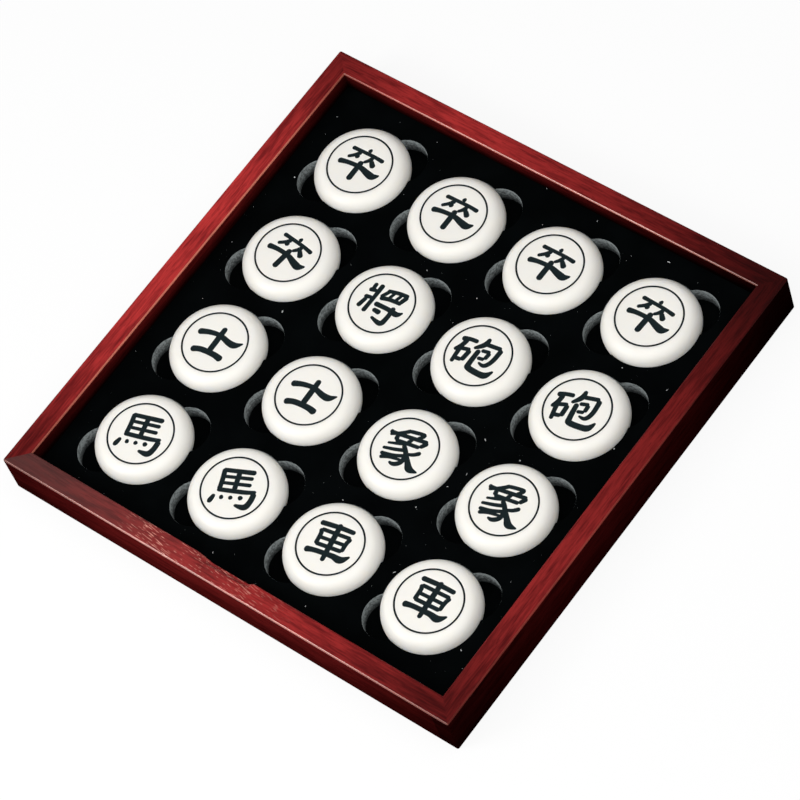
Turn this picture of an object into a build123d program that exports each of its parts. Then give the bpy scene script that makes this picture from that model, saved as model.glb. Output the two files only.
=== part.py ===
from build123d import *

import os

# Open tray of a Chinese chess box. A mitred wooden frame holds a base panel, a black pad and a
# flocked foam insert. The sixteen round pieces of one side lie in the insert's sixteen pockets.
#
# Millimetres. +X runs along a row of pieces, +Y to the far side and +Z up. The origin is in the
# middle of the tray's underside, on the surface that the tray stands on.

# ---------------------------------------------------------------- driving sizes
# playing piece: flat faces and a fully rounded edge
piece_diameter = 40.0
piece_height = 11.7
ring_inset = 6.5  # from the piece's widest circle in to the middle of the engraved ring
ring_width = 0.6
ring_depth = 0.35

# pockets in the insert
columns = 4
rows = 4
pocket_clearance = 0.25  # all round a piece
pocket_land = 7.5  # foam left between two neighbouring pockets
notch_radius = 10.2  # finger notch
notch_inset = 3.3  # the notch's centre lies this far inside the pocket's edge
notch_heading = 45.0  # degrees from +X; a second notch lies opposite
tongue_round = 1.0  # where a notch's edge meets the pocket's

# foam insert
insert_thickness = 7.2
insert_border = 9.75  # foam between the outer pockets and the insert's edge
insert_fit = 0.2  # all round the insert and the pad, inside the frame

# pad and panel under the insert
pad_thickness = 1.5
panel_thickness = 3.0
panel_recess = 0.6  # the panel's underside is this far above the frame's foot
panel_lap = 4.4  # the rebate reaches this far under the rails
panel_fit = 0.25  # all round the panel, in the rebate

# frame
rail_width = 8.8
rim_over_insert = 8.7
rim_round = 0.8  # the rails' top edges and the frame's four outer corners
foot_round = 0.5

# ---------------------------------------------------------------- worked out
piece_radius = piece_diameter / 2
ring_radius = piece_radius - ring_inset
pocket_radius = piece_radius + pocket_clearance
pitch = 2 * pocket_radius + pocket_land

insert_length = (columns - 1) * pitch + 2 * (pocket_radius + insert_border)
insert_depth = (rows - 1) * pitch + 2 * (pocket_radius + insert_border)
opening_length = insert_length + 2 * insert_fit
opening_depth = insert_depth + 2 * insert_fit
tray_length = opening_length + 2 * rail_width
tray_depth = opening_depth + 2 * rail_width

panel_top = panel_recess + panel_thickness
pad_top = panel_top + pad_thickness
insert_top = pad_top + insert_thickness
tray_height = insert_top + rim_over_insert

# The pieces of one side, row by row. The first row is the far one, and each runs along +X.
LAYOUT = (
    ("soldier_1", "soldier_2", "soldier_3", "soldier_4"),
    ("soldier_5", "general", "cannon_1", "cannon_2"),
    ("advisor_1", "advisor_2", "elephant_1", "elephant_2"),
    ("horse_1", "horse_2", "chariot_1", "chariot_2"),
)


def pocket_centre(column, row):
    """Middle of a pocket. Row 0 is the far row and column 0 is the left one."""
    x = (column - (columns - 1) / 2) * pitch
    y = ((rows - 1) / 2 - row) * pitch
    return x, y


def pocket_centres():
    """Every pocket's middle, row by row from the far left."""
    return [pocket_centre(column, row) for row in range(rows) for column in range(columns)]


def slab(length, depth, low, high):
    """A rectangular plate between two heights, centred on the origin."""
    return Pos(0, 0, (low + high) / 2) * Box(length, depth, high - low)


# ---------------------------------------------------------------- frame
def whole_frame():
    """The four rails in one, rebated from below and with eased edges."""
    frame = slab(tray_length, tray_depth, 0, tray_height)
    frame = fillet(frame.edges().filter_by(Axis.Z), rim_round)
    frame -= slab(opening_length, opening_depth, 0, tray_height)
    rim = frame.faces().sort_by(Axis.Z)[-1]
    frame = fillet(rim.edges(), rim_round)
    foot = frame.faces().sort_by(Axis.Z)[0]
    frame = fillet(foot.outer_wire().edges(), foot_round)
    rebate_length = opening_length + 2 * panel_lap
    rebate_depth = opening_depth + 2 * panel_lap
    return frame - slab(rebate_length, rebate_depth, 0, panel_top)


def mitre_zone(run, reach, heading):
    """The space that one rail has: a trapezium with 45 degree ends, toward `heading` from the middle.

    `run` is the rail's length outside, and `reach` is how far its outer face is from the middle.
    """
    inward = 2 * rail_width
    corners = (
        (reach, -run / 2),
        (reach, run / 2),
        (reach - inward, run / 2 - inward),
        (reach - inward, inward - run / 2),
    )
    outline = make_face(Polyline(*corners, close=True))
    return Rot(0, 0, heading) * extrude(outline, amount=tray_height, dir=(0, 0, 1))


def rails():
    """The four mitred rails by name."""
    frame = whole_frame()
    zones = {
        "rail_right": mitre_zone(tray_depth, tray_length / 2, 0),
        "rail_back": mitre_zone(tray_length, tray_depth / 2, 90),
        "rail_left": mitre_zone(tray_depth, tray_length / 2, 180),
        "rail_front": mitre_zone(tray_length, tray_depth / 2, 270),
    }
    return {name: frame & zone for name, zone in zones.items()}


# ---------------------------------------------------------------- panel, pad and insert
def base_panel():
    """The bottom, glued up into the rails' rebate."""
    length = opening_length + 2 * (panel_lap - panel_fit)
    depth = opening_depth + 2 * (panel_lap - panel_fit)
    return slab(length, depth, panel_recess, panel_top)


def floor_pad():
    """The black sheet that closes the pockets from below."""
    return slab(insert_length, insert_depth, panel_top, pad_top)


def pocket_outline():
    """A round pocket with two finger notches opposite each other."""
    notch_offset = pocket_radius - notch_inset
    outline = Circle(pocket_radius)
    for heading in (notch_heading, notch_heading + 180):
        outline += Rot(0, 0, heading) * Pos(notch_offset, 0, 0) * Circle(notch_radius)
    return fillet(outline.vertices(), tongue_round)


def pocket_insert():
    """The foam sheet with its die-cut pockets."""
    outline = Rectangle(insert_length, insert_depth)
    pocket = pocket_outline()
    for x, y in pocket_centres():
        outline -= Pos(x, y, 0) * pocket
    return Pos(0, 0, pad_top) * extrude(outline, amount=insert_thickness)


# ---------------------------------------------------------------- playing piece
def piece_half_section():
    """Half of the piece's section in the XZ plane: flat foot, round edge, flat face."""
    edge_radius = piece_height / 2
    face_radius = piece_radius - edge_radius
    edge = ThreePointArc(
        (face_radius, 0, 0),
        (piece_radius, 0, edge_radius),
        (face_radius, 0, piece_height),
    )
    section = (
        Line((0, 0, 0), (face_radius, 0, 0)),
        edge,
        Line((face_radius, 0, piece_height), (0, 0, piece_height)),
        Line((0, 0, piece_height), (0, 0, 0)),
    )
    return make_face(section)


def playing_piece():
    """A piece that stands on the origin, with the ring engraved in its upper face."""
    body = revolve(piece_half_section(), Axis.Z, 360)
    outer = Cylinder(ring_radius + ring_width / 2, 2 * ring_depth)
    inner = Cylinder(ring_radius - ring_width / 2, 2 * ring_depth)
    return body - Pos(0, 0, piece_height) * (outer - inner)


# ---------------------------------------------------------------- assembly
nodes = rails()
nodes["base_panel"] = base_panel()
nodes["floor_pad"] = floor_pad()
nodes["pocket_insert"] = pocket_insert()
for row, names in enumerate(LAYOUT):
    for column, name in enumerate(names):
        x, y = pocket_centre(column, row)
        nodes[name] = Pos(x, y, pad_top) * playing_piece()

os.makedirs("parts", exist_ok=True)
for name, shape in nodes.items():
    export_step(shape, f"parts/{name}.step")

print(f"tray {tray_length:.1f} x {tray_depth:.1f} x {tray_height:.1f}, pitch {pitch:.1f}")
print(f"pocket floor at {pad_top:.1f}, insert top at {insert_top:.1f}")
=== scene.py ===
import math

import bmesh
import bpy
from mathutils import Matrix, Vector, noise


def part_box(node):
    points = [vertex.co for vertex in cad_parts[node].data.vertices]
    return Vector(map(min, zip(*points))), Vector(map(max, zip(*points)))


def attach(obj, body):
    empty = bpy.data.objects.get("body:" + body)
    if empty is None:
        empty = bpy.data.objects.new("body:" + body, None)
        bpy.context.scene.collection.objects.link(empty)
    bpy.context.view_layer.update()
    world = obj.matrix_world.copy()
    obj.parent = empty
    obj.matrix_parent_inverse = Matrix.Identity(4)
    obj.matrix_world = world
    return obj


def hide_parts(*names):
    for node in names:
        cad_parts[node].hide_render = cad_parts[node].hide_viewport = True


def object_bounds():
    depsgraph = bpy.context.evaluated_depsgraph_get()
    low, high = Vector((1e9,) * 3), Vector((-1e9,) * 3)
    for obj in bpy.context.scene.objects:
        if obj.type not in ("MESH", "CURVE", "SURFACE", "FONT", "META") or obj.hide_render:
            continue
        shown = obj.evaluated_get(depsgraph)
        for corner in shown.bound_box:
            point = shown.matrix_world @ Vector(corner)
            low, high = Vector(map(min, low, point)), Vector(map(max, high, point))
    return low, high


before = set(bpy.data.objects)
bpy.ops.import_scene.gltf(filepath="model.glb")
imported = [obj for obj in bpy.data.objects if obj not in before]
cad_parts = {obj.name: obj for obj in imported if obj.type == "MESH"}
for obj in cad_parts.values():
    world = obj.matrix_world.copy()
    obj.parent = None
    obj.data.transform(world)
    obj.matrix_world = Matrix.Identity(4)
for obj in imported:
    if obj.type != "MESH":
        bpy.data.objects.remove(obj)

# Looks of an open Chinese chess tray with the sixteen pieces of one side. Metres, in the packed
# model's own frame: +X runs along a row of pieces, +Y to the far side and +Z up.

bl_info = {
    "name": "Chinese Chess Tray",
    "version": (1, 0, 0),
    "blender": (4, 5, 0),
    "location": "View3D > Sidebar > Chess Tray",
    "description": "Finishes a mitred wooden tray, its flocked insert and the engraved pieces",
    "category": "Object",
}

MM = 0.001
CAD_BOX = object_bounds()
CLEAR = (0.0, 0.0, 0.0)


# ---------------------------------------------------------------- sizes that the frame gives
def node_size(node):
    """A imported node's lowest corner and its extent."""
    low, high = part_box(node)
    return low, high - low


def node_middle(node):
    """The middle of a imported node's box."""
    low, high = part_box(node)
    return (low + high) / 2


PIECE_LOW, PIECE_SIZE = node_size("general")
PIECE_RADIUS = PIECE_SIZE.x / 2
PIECE_HEIGHT = PIECE_SIZE.z
INSERT_LOW, INSERT_SIZE = node_size("pocket_insert")
INSERT_TOP = INSERT_LOW.z + INSERT_SIZE.z
PITCH = node_middle("soldier_2").x - node_middle("soldier_1").x
PANEL_LOW, PANEL_SIZE = node_size("base_panel")

# Each rail's name, and the heading of its outer face in degrees from +X.
RAILS = {"rail_right": 0, "rail_back": 90, "rail_left": 180, "rail_front": 270}

# ---------------------------------------------------------------- marks of rank
# A mark is a set of brush strokes, and a stroke is a line of (x, y, width) points in millimetres,
# measured from the middle of the piece's face.
SOLDIER = (
    ((0.2, 8.4, 1.0), (-0.1, 6.4, 2.4)),
    ((-7.8, 5.4, 1.9), (-3.4, 5.6, 1.7), (3.2, 5.8, 1.7), (8.2, 5.5, 1.9)),
    ((-2.8, 5.3, 2.1), (-4.3, 3.1, 1.8), (-7.0, 0.7, 1.5)),
    ((-4.5, 3.4, 1.7), (-2.4, 2.2, 2.4)),
    ((3.2, 5.3, 2.1), (2.2, 3.2, 1.8), (0.6, 1.4, 1.3)),
    ((3.0, 3.8, 1.8), (5.9, 1.1, 2.6)),
    ((-9.4, -2.5, 2.7), (-4.9, -1.4, 2.1), (0.8, -1.0, 2.2), (5.3, -2.0, 3.0),
     (8.1, -2.3, 3.1), (10.5, -0.5, 0.6)),
    ((0.0, 1.8, 2.4), (0.0, -8.4, 2.6)),
)
GENERAL = (
    ((-7.3, 6.8, 1.9), (-7.1, 3.2, 1.7)),
    ((-8.6, 2.9, 2.1), (-5.0, 3.8, 1.6)),
    ((-8.5, -0.6, 2.1), (-5.0, 0.3, 1.6)),
    ((-7.0, -0.6, 1.8), (-8.1, -5.9, 2.1)),
    ((-4.5, 7.4, 2.2), (-4.5, 0.0, 1.9), (-4.7, -6.8, 2.1)),
    ((-1.5, 5.8, 1.7), (3.5, 7.1, 1.8), (8.0, 7.6, 1.9)),
    ((-0.3, 6.1, 1.7), (-2.3, 2.1, 1.8)),
    ((7.6, 7.5, 2.1), (6.3, 3.4, 1.9)),
    ((-2.4, 1.7, 2.1), (1.8, 2.9, 1.9), (7.3, 3.5, 1.8)),
    ((2.0, 6.6, 1.5), (1.1, 3.0, 1.5)),
    ((5.0, 6.8, 1.5), (4.0, 3.4, 1.5)),
    ((-2.8, -1.3, 2.2), (4.1, -1.0, 2.1), (8.2, -1.3, 2.5), (10.3, 0.6, 0.6)),
    ((5.6, 1.0, 2.1), (5.8, -4.5, 2.2), (4.8, -7.8, 2.4), (-0.3, -7.0, 1.1)),
    ((-1.8, -3.8, 1.8), (2.2, -4.0, 2.4)),
)
CANNON = (
    ((-10.2, 3.8, 2.4), (-6.8, 4.9, 1.9), (-3.2, 5.2, 1.9)),
    ((-7.6, 4.5, 2.1), (-8.5, 1.1, 2.1), (-10.4, -1.9, 1.5)),
    ((-8.5, -0.2, 1.9), (-4.1, 0.8, 1.8)),
    ((-4.2, 0.7, 2.1), (-5.0, -4.9, 2.1)),
    ((-8.7, -4.9, 1.9), (-5.0, -4.5, 1.8)),
    ((-8.5, 0.0, 2.1), (-8.3, -7.2, 1.7)),
    ((0.3, 8.7, 1.5), (-0.3, 5.3, 2.4), (-3.5, 2.0, 1.3)),
    ((0.0, 5.7, 1.9), (7.0, 6.4, 1.9)),
    ((7.1, 6.3, 2.2), (6.4, 0.2, 2.1), (4.5, -2.9, 1.9), (1.5, -2.5, 0.8)),
    ((-0.2, 2.5, 1.7), (3.8, 3.2, 1.7)),
    ((3.6, 3.1, 1.9), (3.1, -0.5, 1.8)),
    ((0.0, -1.0, 1.6), (3.2, -0.5, 1.6)),
    ((-1.0, 2.5, 2.1), (-1.3, -4.7, 2.4), (-0.6, -6.4, 2.6), (4.7, -6.9, 2.7),
     (7.4, -6.3, 2.8), (9.3, -3.4, 0.8)),
)
ADVISOR = (
    ((-9.4, 1.0, 2.9), (-4.9, 2.8, 2.4), (0.0, 3.5, 2.2), (5.1, 2.4, 2.8),
     (8.1, 2.5, 2.8), (10.8, 4.7, 0.6)),
    ((0.2, 7.6, 2.2), (0.2, 2.1, 2.6), (0.2, -4.5, 2.6)),
    ((-7.3, -7.0, 2.9), (-3.4, -5.3, 2.6), (3.0, -4.9, 2.6), (7.2, -5.6, 3.1)),
)
ELEPHANT = (
    ((-2.1, 7.8, 1.9), (-4.7, 5.5, 1.7), (-9.1, 2.5, 1.3)),
    ((-2.8, 7.3, 1.7), (3.4, 8.5, 1.7), (1.7, 5.7, 1.7)),
    ((-9.6, 4.7, 1.1), (-8.5, 3.8, 2.1), (-5.9, 4.2, 1.8), (6.6, 6.4, 1.8)),
    ((-5.9, 4.1, 1.9), (-5.5, 1.3, 1.9)),
    ((6.7, 6.4, 2.1), (4.7, 3.1, 1.8)),
    ((-5.7, 1.5, 1.7), (4.9, 3.1, 1.7)),
    ((0.4, 5.3, 1.7), (-0.6, 2.3, 1.9)),
    ((-0.6, 2.3, 1.9), (-3.8, 0.6, 1.5), (-7.8, -1.0, 1.0)),
    ((-1.5, 1.3, 1.8), (1.7, -1.9, 2.1), (2.0, -5.7, 2.1), (-0.2, -7.7, 1.9), (-2.5, -7.6, 0.8)),
    ((0.4, -0.6, 1.7), (-3.4, -2.1, 1.6), (-8.3, -3.6, 1.3)),
    ((1.5, -2.8, 1.7), (-2.8, -4.7, 1.6), (-7.8, -5.9, 1.6)),
    ((-7.0, -7.6, 1.8), (-3.2, -5.9, 1.5), (1.7, -4.9, 1.2)),
    ((6.8, 1.5, 1.9), (4.5, -0.6, 1.7), (1.9, -1.7, 1.3)),
    ((1.3, -1.3, 1.9), (4.5, -4.5, 2.4), (6.8, -6.6, 3.0), (10.4, -6.4, 0.6)),
)
HORSE = (
    ((-6.9, 7.3, 1.5), (-5.9, 6.0, 2.1), (-5.7, 0.3, 2.0), (-6.0, -1.7, 2.1)),
    ((-6.7, 7.1, 1.9), (7.0, 7.6, 2.2)),
    ((-5.8, 4.3, 1.5), (6.7, 4.9, 1.7)),
    ((-5.8, 1.5, 1.5), (6.7, 2.0, 1.7)),
    ((0.3, 7.3, 2.2), (0.3, -1.4, 2.1)),
    ((-6.7, -1.6, 2.0), (4.6, -1.3, 2.0), (9.4, -0.6, 1.6)),
    ((8.7, -1.0, 2.4), (8.0, -5.2, 2.5), (6.3, -7.7, 2.7), (2.0, -7.3, 1.1)),
    ((-7.0, -3.8, 1.5), (-8.1, -6.7, 2.2), (-9.0, -7.6, 1.3)),
    ((-4.2, -3.7, 1.5), (-3.7, -5.7, 1.9)),
    ((-0.6, -3.5, 1.5), (0.1, -5.3, 2.1)),
    ((2.9, -3.2, 1.5), (4.5, -4.7, 2.4)),
)
CHARIOT = (
    ((-8.1, 7.0, 2.2), (0.0, 7.5, 2.1), (7.2, 7.4, 1.9)),
    ((-6.6, 4.7, 1.8), (-5.6, 2.9, 1.9), (-5.5, -2.2, 1.8)),
    ((-6.3, 4.5, 1.7), (6.6, 4.7, 1.7)),
    ((6.8, 4.8, 1.9), (5.9, 2.4, 1.9), (5.7, -1.8, 1.8)),
    ((-5.5, 1.2, 1.6), (5.9, 1.4, 1.6)),
    ((-5.7, -1.7, 1.8), (5.9, -1.5, 1.8)),
    ((-8.7, -5.5, 2.9), (-4.5, -4.7, 2.2), (3.0, -4.5, 2.4), (7.0, -4.9, 3.1), (10.0, -2.3, 0.7)),
    ((0.1, 9.1, 2.1), (0.2, 0.7, 2.4), (0.3, -8.0, 1.9)),
)

# Each rank's mark, and how far its pieces are turned in their pockets, in degrees.
RANKS = {
    "soldier": (SOLDIER, (0, 0, -1, -4, -8)),
    "general": (GENERAL, (0,)),
    "cannon": (CANNON, (3, 12)),
    "advisor": (ADVISOR, (2, 2)),
    "elephant": (ELEPHANT, (1, 1)),
    "horse": (HORSE, (14, 21)),
    "chariot": (CHARIOT, (9, 3)),
}


# ---------------------------------------------------------------- node graphs
class Value:
    """One output of a node. Arithmetic on it adds Math nodes to the same tree."""

    def __init__(self, graph, node, output=0):
        self.graph = graph
        self.node = node
        self.socket = node.outputs[output] if node.outputs else None

    def output(self, name):
        """Another output of the same node."""
        return Value(self.graph, self.node, name)

    def __add__(self, other):
        return self.graph.maths("ADD", self, other)

    __radd__ = __add__

    def __mul__(self, other):
        return self.graph.maths("MULTIPLY", self, other)

    __rmul__ = __mul__

    def __sub__(self, other):
        return self.graph.maths("SUBTRACT", self, other)

    def __rsub__(self, other):
        return self.graph.maths("SUBTRACT", other, self)

    def __truediv__(self, other):
        return self.graph.maths("DIVIDE", self, other)

    def __rtruediv__(self, other):
        return self.graph.maths("DIVIDE", other, self)

    def __gt__(self, other):
        return self.graph.maths("GREATER_THAN", self, other)

    def __lt__(self, other):
        return self.graph.maths("LESS_THAN", self, other)


class Graph:
    """A node tree, with one method that adds any node."""

    def __init__(self, tree):
        self.tree = tree
        self.tree.nodes.clear()

    def add(self, kind, settings=None, values=None, output=0):
        """Adds a node: first its settings, then the values or links of its sockets."""
        node = self.tree.nodes.new(kind)
        for name, setting in (settings or {}).items():
            setattr(node, name, setting)
        for name, value in (values or {}).items():
            self.feed(node, name, value)
        return Value(self, node, output)

    def feed(self, node, name, value):
        """Gives one input socket its links or its value."""
        if isinstance(name, int):
            socket = node.inputs[name]
        else:
            socket = next(each for each in node.inputs if each.name == name and each.enabled)
        for each in value if isinstance(value, list) else [value]:
            if isinstance(each, Value):
                self.tree.links.new(each.socket, socket)
            else:
                socket.default_value = each

    def maths(self, operation, *values, clamp=False):
        """A Math node on numbers."""
        settings = {"operation": operation, "use_clamp": clamp}
        return self.add("ShaderNodeMath", settings, dict(enumerate(values)))

    def vector(self, operation, *values, output=0):
        """A Vector Math node."""
        settings = {"operation": operation}
        return self.add("ShaderNodeVectorMath", settings, dict(enumerate(values)), output)

    def blend(self, amount, first, second):
        """A colour between two colours."""
        values = {"Factor": amount, "A": colour(first), "B": colour(second)}
        return self.add("ShaderNodeMix", {"data_type": "RGBA"}, values, 2)

    def ramp(self, amount, low, high):
        """Rises smoothly from 0 to 1 while `amount` goes from `low` to `high`."""
        values = {"Value": amount, "From Min": low, "From Max": high}
        settings = {"interpolation_type": "SMOOTHSTEP"}
        return self.add("ShaderNodeMapRange", settings, values)


def colour(value):
    """A colour with its alpha, or a link as it is."""
    return value if isinstance(value, Value) else (*value, 1.0)


class Surface(Graph):
    """A material's tree. `cover` ends it in a Principled shader."""

    def __init__(self, name):
        self.material = bpy.data.materials.new(name)
        self.material.use_nodes = True
        super().__init__(self.material.node_tree)

    def place(self, scale=(1, 1, 1), turn=CLEAR):
        """Object coordinates in metres, turned and then scaled."""
        spot = self.add("ShaderNodeTexCoord", output="Object")
        turned = self.add("ShaderNodeMapping", None, {"Vector": spot, "Rotation": turn})
        return self.add("ShaderNodeMapping", None, {"Vector": turned, "Scale": scale})

    def noise(self, vector, scale=1.0, detail=2.0, roughness=0.5):
        """Noise from about 0 to 1."""
        values = {"Vector": vector, "Scale": scale, "Detail": detail, "Roughness": roughness}
        return self.add("ShaderNodeTexNoise", None, values)

    def bump(self, height, strength, distance):
        """A bumped normal."""
        values = {"Height": height, "Strength": strength, "Distance": distance}
        return self.add("ShaderNodeBump", None, values)

    def cover(self, values):
        """Ends the tree in a Principled shader and returns the material."""
        shader = self.add("ShaderNodeBsdfPrincipled", None, values)
        self.add("ShaderNodeOutputMaterial", None, {"Surface": shader})
        return self.material


class Growth(Graph):
    """A Geometry Nodes tree with named inputs. `grow` runs it and returns a plain mesh."""

    def __init__(self, name, inputs):
        tree = bpy.data.node_groups.new(name, "GeometryNodeTree")
        super().__init__(tree)
        tree.interface.new_socket(name="Geometry", in_out="INPUT", socket_type="NodeSocketGeometry")
        tree.interface.new_socket(name="Geometry", in_out="OUTPUT", socket_type="NodeSocketGeometry")
        for label, kind in inputs.items():
            tree.interface.new_socket(name=label, in_out="INPUT", socket_type=f"NodeSocket{kind}")
        self.source = self.add("NodeGroupInput")

    def given(self, label):
        """A named input's value."""
        return self.source.output(label)

    def curve(self, label):
        """The curve of the object that is given as a named input."""
        return self.add("GeometryNodeObjectInfo", None, {"Object": self.given(label)}, "Geometry")

    def move(self, geometry, values):
        """Geometry moved, turned or scaled."""
        return self.add("GeometryNodeTransform", None, {"Geometry": geometry, **values})

    def up(self, height):
        """A vector that points straight up."""
        return self.add("ShaderNodeCombineXYZ", None, {"Z": height})

    def end(self, geometry, paints):
        """Ends the tree: real geometry, then each material on its selection of faces."""
        result = self.add("GeometryNodeRealizeInstances", None, {"Geometry": geometry})
        for label, selection in paints:
            values = {"Geometry": result, "Material": self.given(label)}
            if selection is not None:
                values["Selection"] = selection
            result = self.add("GeometryNodeSetMaterial", None, values)
        self.add("NodeGroupOutput", None, {"Geometry": result})

    def grow(self, name, values, start=None):
        """Runs the tree on a start mesh, or on nothing, and returns the result as a mesh."""
        host = bpy.data.objects.new(name, start or bpy.data.meshes.new(name))
        bpy.context.scene.collection.objects.link(host)
        modifier = host.modifiers.new(name, "NODES")
        modifier.node_group = self.tree
        for item in self.tree.interface.items_tree:
            if item.in_out == "INPUT" and item.name in values:
                modifier[item.identifier] = values[item.name]
        result = host.evaluated_get(bpy.context.evaluated_depsgraph_get())
        mesh = bpy.data.meshes.new_from_object(result)
        bpy.data.objects.remove(host)
        if not mesh.polygons:
            raise RuntimeError(f"{name} came out empty")
        return mesh


# ---------------------------------------------------------------- meshes and objects
def line_object(name, lines, closed=False):
    """A curve object with one straight-sided line for each list of (x, y, radius) points."""
    curve = bpy.data.curves.new(name, "CURVE")
    curve.dimensions = "3D"
    for line in lines:
        spline = curve.splines.new("POLY")
        spline.points.add(len(line) - 1)
        spline.use_cyclic_u = closed
        for point, (x, y, radius) in zip(spline.points, line):
            point.co = (x, y, 0.0, 1.0)
            point.radius = radius
    result = bpy.data.objects.new(name, curve)
    bpy.context.scene.collection.objects.link(result)
    return result


def arc(centre, radius, start, end, step):
    """Points along an arc from one angle to another, without the last one."""
    count = max(3, math.ceil(abs(end - start) * radius / step))
    points = []
    for index in range(count):
        angle = start + (end - start) * index / count
        points.append(centre + radius * Vector((math.cos(angle), math.sin(angle))))
    return points


def soften(mesh, crease):
    """Smooth shading, apart from edges whose faces meet at more than the crease angle."""
    shape = bmesh.new()
    shape.from_mesh(mesh)
    for face in shape.faces:
        face.smooth = True
    for edge in shape.edges:
        edge.smooth = edge.is_manifold and edge.calc_face_angle() < crease
    shape.to_mesh(mesh)
    shape.free()


def show(name, mesh, body, slot, *nodes):
    """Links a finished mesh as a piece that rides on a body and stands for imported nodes."""
    piece = bpy.data.objects.new(name, mesh)
    bpy.context.scene.collection.objects.link(piece)
    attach(piece, body)
    if nodes:
        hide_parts(*nodes)
    return piece


def repaint(node, material):
    """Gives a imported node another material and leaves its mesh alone."""
    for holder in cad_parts[node].material_slots:
        holder.material = material


# ---------------------------------------------------------------- settings
def length(label, about, value):
    """A length property in metres."""
    return bpy.props.FloatProperty(
        name=label, description=about, default=value, unit="LENGTH", precision=5
    )


def share(label, about, value):
    """A plain number property."""
    return bpy.props.FloatProperty(name=label, description=about, default=value, precision=3)


def count(label, about, value):
    """A whole number property."""
    return bpy.props.IntProperty(name=label, description=about, default=value, min=1)


def angle(label, about, degrees):
    """An angle property."""
    return bpy.props.FloatProperty(
        name=label, description=about, default=math.radians(degrees), subtype="ANGLE"
    )


def shade(label, about, value):
    """A colour property, in linear light."""
    return bpy.props.FloatVectorProperty(
        name=label, description=about, default=value, subtype="COLOR", min=0.0, max=1.0
    )


class RailSettings(bpy.types.PropertyGroup):
    """Sizes and stain of the four wooden rails."""

    rim_round: length("Rim round", "Radius of the top edges", 0.8 * MM)
    foot_round: length("Foot round", "Radius of the lower outer edge", 0.5 * MM)
    panel_fit: length("Panel fit", "Gap round the base panel in its rebate", 0.25 * MM)
    mitre_ease: length("Mitre ease", "Tiny chamfer where two rails meet", 0.09 * MM)
    unevenness: length("Unevenness", "How far hand sanding took the edges down", 0.02 * MM)
    chip_drop: length("Chip drop", "How low the chip in the near rail's inner edge goes", 2.0 * MM)
    chip_inset: length("Chip inset", "How far the chip goes into the inner face", 0.5 * MM)
    chip_reach: length("Chip reach", "The chip's slope begins this far from the inner face", 3.2 * MM)
    chip_start: length("Chip start", "Where the chip begins, along the near rail", -16.5 * MM)
    chip_end: length("Chip end", "Where the chip ends, along the near rail", 11.0 * MM)
    segments: count("Segments", "Steps along a rail", 148)
    stain: shade("Stain", "The wood where its stain is brightest", (0.405, 0.030, 0.029))
    grain: shade("Grain", "The dark growth lines", (0.15, 0.010, 0.011))
    # Painted shade: how much of the stain is left at the far right corner.
    far_corner_shade: share("Heartwood", "Share of the stain at the far right corner", 0.21)
    # Painted light: the far left rails are lighter and the near right ones darker.
    painted_falloff: share("Lean", "How much lighter the far left rails are than the near right ones", 0.31)
    # How much darker the wood is towards the mitres.
    mitre_darkening: share("Mitre stain", "How much darker the end grain is at the mitres", 0.62)
    # Painted highlight: pale colour on the edges where the lamps gleam.
    edge_highlight: shade("Rubbed", "Stain that is rubbed thin on the edges", (0.72, 0.24, 0.16))
    # Painted sheen: a greyish reflection painted on the near rail's left end.
    painted_sheen: shade("Haze", "Worn lacquer on the near rail's left end", (0.06, 0.042, 0.039))
    # Painted glints: pale flecks in the pores of the near rail.
    fleck: shade("Fleck", "Open pores that hold pale filler", (0.68, 0.29, 0.23))
    # Painted shade: the outer faces are darker than the rim and darker still at the foot, the right
    # rail's outer face is darker again, and the inner faces are darker below the rim.
    side_top: share("Side top", "Share of the stain on an outer face near the rim", 0.55)
    side_foot: share("Side foot", "Share of the stain on an outer face at the foot", 0.26)
    right_side: share("Right side", "How much darker the right rail's outer face is", 0.5)
    inner_top: share("Inner top", "Share of the stain on an inner face near the rim", 0.35)


class InsertSettings(bpy.types.PropertyGroup):
    """Sizes and colours of the flocked insert, the pad and the panel."""

    pocket_clearance: length("Pocket clearance", "Gap round a piece", 0.15 * MM)
    notch_radius: length("Notch radius", "Radius of a finger notch", 10.2 * MM)
    notch_inset: length("Notch inset", "Notch centre, inside the pocket's edge", 3.3 * MM)
    notch_heading: angle("Notch heading", "Direction of the notches from +X", 45)
    tongue_round: length("Tongue round", "Where a notch's edge meets the pocket's", 0.6 * MM)
    edge_round: length("Edge round", "Soft upper edge of the flocked foam", 0.4 * MM)
    corner_round: length("Corner round", "The sheet's four corners", 1.5 * MM)
    columns: count("Columns", "Pockets in a row", 4)
    rows: count("Rows", "Rows of pockets", 4)
    flock: shade("Flock", "Black velvet flock", (0.0016, 0.0022, 0.0024))
    foam: shade("Foam", "Cut foam in a pocket's wall", (0.36, 0.40, 0.405))
    panel: shade("Panel", "Matte stain under the tray", (0.13, 0.012, 0.012))


class PieceSettings(bpy.types.PropertyGroup):
    """Sizes and colours of the playing pieces."""

    ring_radius: length("Ring radius", "Middle of the engraved ring", 13.5 * MM)
    ring_width: length("Ring width", "Width of the engraved ring", 0.78 * MM)
    ring_lift: length("Ring lift", "The ring cutter's middle, below the face", 0.05 * MM)
    groove_depth: share("Groove depth", "Depth of a stroke as a share of half its width", 0.35)
    stroke_step: length("Stroke step", "Distance between sections along a stroke", 0.25 * MM)
    sides: count("Sides", "Sides of a piece", 112)
    bands: count("Bands", "Bands over the rounded edge", 20)
    body: shade("Body", "Warm white melamine", (0.87, 0.85, 0.80))
    glow: length("Glow", "How far light travels inside the melamine", 3.0 * MM)
    paint: shade("Paint", "Black paint in the engraving", (0.003, 0.007, 0.008))


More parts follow.
